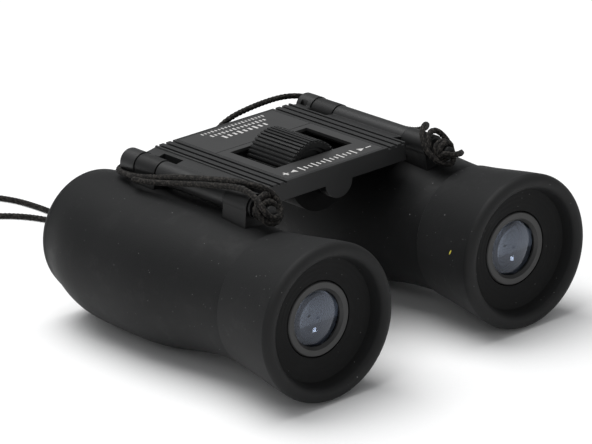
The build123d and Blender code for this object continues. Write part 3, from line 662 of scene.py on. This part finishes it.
def rubber(name, tone, cup):
    """Soft-touch rubber; a cup also has its rubbed rim, and rings and painted shade on its inner wall.
    """
    finish = Finish(name)
    place = finish.place()
    x = finish.node("SeparateXYZ", Vector=place)
    y, z = x.output(1), x.output(2)
    off_axis = ((x.math("ABSOLUTE") - EYE_X) ** 2 + (z - AXIS_Z) ** 2) ** 0.5
    pebble = finish.noise(2300.0, 3.0, 0.62)
    cloud = finish.noise(42.0, 5.0, 0.62)
    smudge = finish.steps(finish.noise(130.0, 5.0, 0.7), 0.50, 0.72)
    dust = dust_specks(finish, place, DUST_CELLS, DUST_SIZE, DUST_KEPT)
    fine_dust = dust_specks(finish, place, FINE_CELLS, FINE_SIZE, FINE_KEPT)
    specks = (dust + fine_dust * 0.7).clamped()
    colour = finish.mix(cloud, grey(tone * 0.72, -0.04), grey(tone * 1.30, -0.04))
    colour = finish.mix(smudge * 0.35, colour, grey(tone * 1.7, -0.01))
    roughness = 0.56 + cloud * 0.10 - smudge * 0.06
    height = pebble * 0.75 + cloud * 0.2
    if cup:
        rim = finish.steps(y, *RIM_FADE_Y)
        inner_wall_shade_and_rings = (1 - finish.steps(off_axis, *CUP_WALL_FADE_R)) * finish.steps(y, *MOUTH_FADE_Y)
        colour = finish.mix(rim * 0.5, colour, grey(tone * 2.0))
        # painted shade: the cup's inner wall is darkened to half the rubber's tone
        colour = finish.mix(inner_wall_shade_and_rings * 0.75, colour, grey(tone * 0.5))
        rings = (off_axis * CUP_RING_RATE).math("SINE")
        height = height + rings * inner_wall_shade_and_rings * 0.5
        roughness = roughness + inner_wall_shade_and_rings * 0.12
    finish.set(
        Base_Color=finish.mix(specks * 0.6, colour, grey(0.30)),
        Roughness=roughness,
        Specular_IOR_Level=0.18,
        Sheen_Weight=0.02,
        Sheen_Roughness=0.35,
        Normal=finish.bump(height, 0.06 * MM, 0.75),
    )
    return finish.material


armour_finish = rubber("armour_rubber", 0.0090, cup=False)
eyecup_finish = rubber("eyecup_rubber", 0.0100, cup=True)
for side_name in ("left", "right"):
    finish_node("armour_" + side_name, armour_finish)
    finish_node("eyecup_" + side_name, eyecup_finish)


# The dioptre index. A short slanted dash of yellow paint on the inboard side of the right
# eyecup, the mark that is read while that eyecup is turned.
DASH_Y, DASH_ANGLE = -39.3 * MM, math.radians(169)
DASH_LONG, DASH_WIDE = 1.15 * MM, 0.5 * MM
DASH_SLANT, DASH_POINTED = 0.5, 2.4
DASH_PROUD = 0.03 * MM
DASH_ALONG, DASH_ACROSS = 8, 4
CUP_R, CLEAR_OF_CUP_R = 18 * MM, 30 * MM


def index_dash():
    """A small grid of points dropped on to the eyecup, then lifted by the paint's thickness."""
    cup = nodes["eyecup_right"].data
    faces = [tuple(p.vertices) for p in cup.polygons]
    tree = BVHTree.FromPolygons([v.co for v in cup.vertices], faces)
    mesh = bmesh.new()
    grid = []
    for i in range(DASH_ALONG + 1):
        row = []
        for j in range(DASH_ACROSS + 1):
            share = i / DASH_ALONG - 0.5
            u = share * DASH_LONG
            v = (j / DASH_ACROSS - 0.5) * DASH_WIDE * math.cos(share * DASH_POINTED)
            y = DASH_Y + v + u * DASH_SLANT
            angle = DASH_ANGLE + u / CUP_R
            spoke = Vector((math.cos(angle), 0, math.sin(angle)))
            start = Vector((EYE_X, y, AXIS_Z)) + spoke * CLEAR_OF_CUP_R
            hit = tree.ray_cast(start, -spoke)[0]
            row.append(mesh.verts.new(hit + spoke * DASH_PROUD))
        grid.append(row)
    for one, two in zip(grid, grid[1:]):
        for j in range(DASH_ACROSS):
            mesh.faces.new((one[j], one[j + 1], two[j + 1], two[j])).smooth = True
    data = bpy.data.meshes.new("dioptre_index")
    mesh.to_mesh(data)
    mesh.free()
    piece = bpy.data.objects.new("dioptre_index", data)
    bpy.context.scene.collection.objects.link(piece)
    finish = Finish("yellow_paint")
    worn = finish.noise(3000.0, 3.0)
    finish.set(
        Base_Color=finish.mix(worn, (0.62, 0.50, 0.02, 1), (0.85, 0.78, 0.12, 1)),
        Roughness=0.42 + worn * 0.1,
        Normal=finish.bump(worn, 0.01 * MM, 0.4),
    )
    data.materials.append(finish.material)
    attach(piece, "right_diopter")


index_dash()


# Eyepieces, cells and cages. A moulded ring in each eyecup carries a black-anodised lens tube
# with anti-glare threads, and a satin ring holds the eye lens in. The objective cells and field
# stops are anodised too, and the prism cages are moulded.
def anodised(name, tone):
    finish = Finish(name)
    thread = finish.node("TexWave", {"bands_direction": "Y", "wave_profile": "TRI"},
                         Vector=finish.place(), Scale=620.0, Distortion=0.0)
    cloud = finish.noise(160.0, 4.0)
    finish.set(
        Base_Color=finish.mix(cloud, grey(tone * 0.8), grey(tone * 1.3)),
        Metallic=0.35,
        Roughness=0.42 + cloud * 0.16,
        Normal=finish.bump(thread, 0.08 * MM, 0.6),
    )
    return finish.material


def ring_paint():
    finish = Finish("lens_ring")
    rounded = finish.node("Bevel", {"samples": 6}, Radius=0.15 * MM)
    cloud = finish.noise(300.0, 4.0)
    fine = finish.noise(7000.0, 2.0)
    finish.set(
        Base_Color=finish.mix(cloud, grey(0.018), grey(0.027)),
        Roughness=0.38 + cloud * 0.14,
        Specular_IOR_Level=0.5,
        Normal=finish.bump(fine, 0.02 * MM, 0.35, normal=rounded),
    )
    return finish.material


tube_finish = anodised("inner_metal", 0.022)
inner_finish = moulded("inner_plastic", 0.016, rough=0.62, grain=3000.0)
ring_finish = ring_paint()
finish_node("eyepiece_ring_left", inner_finish)
finish_node("diopter_ring_right", inner_finish)
for side_name in ("left", "right"):
    for piece_name in ("lens_tube_", "objective_cell_", "field_stop_"):
        finish_node(piece_name + side_name, tube_finish)
    finish_node("eye_lens_ring_" + side_name, ring_finish)
    finish_node("objective_ring_" + side_name, ring_finish)
    finish_node("prism_cage_" + side_name, inner_finish)


# Lenses and prisms. Ground glass: the eye lenses are coated blue, the field lenses behind them
# are tinted copper, the objectives are coated amber, and the prisms' glass is tinted dark as
# painted shade, so that little light passes through and the eye lenses look dark.
CLEAR = (1, 1, 1, 1)


def glass(name, body, glint, index, coat=0.0, coat_tint=CLEAR):
    finish = Finish(name)
    film = finish.noise(90.0, 3.0)
    finish.set(
        Base_Color=finish.mix(film, body, tuple(c * 0.94 for c in body[:3]) + (1,)),
        Roughness=0.012 + film * 0.018,
        IOR=index,
        Transmission_Weight=1.0,
        Specular_Tint=glint,
        Coat_Weight=coat,
        Coat_Roughness=0.02,
        Coat_IOR=1.6,
        Coat_Tint=coat_tint,
    )
    return finish.material


eye_glass = glass("eye_lens_glass", (0.80, 0.86, 0.95, 1), (0.72, 0.80, 1.0, 1), 1.52,
                  coat=0.3, coat_tint=(0.86, 0.92, 1.0, 1))
field_glass = glass("field_lens_glass", (0.55, 0.40, 0.32, 1), (1.0, 0.55, 0.30, 1), 1.9)
front_glass = glass("objective_glass", (0.86, 0.90, 0.86, 1), (1.0, 0.72, 0.35, 1), 1.62,
                    coat=0.6, coat_tint=(1.0, 0.9, 0.75, 1))
# painted shade: the prisms' glass is tinted dark so that the view into the eye lenses stays dark
prism_glass_painted_dark = glass("prism_glass_painted_dark", (0.10, 0.11, 0.12, 1), CLEAR, 1.52)
for side_name in ("left", "right"):
    finish_node("eye_lens_" + side_name, eye_glass)
    finish_node("field_lens_" + side_name, field_glass)
    finish_node("objective_lens_" + side_name, front_glass)
    finish_node("half_penta_prism_" + side_name, prism_glass_painted_dark)
    finish_node("roof_prism_" + side_name, prism_glass_painted_dark)
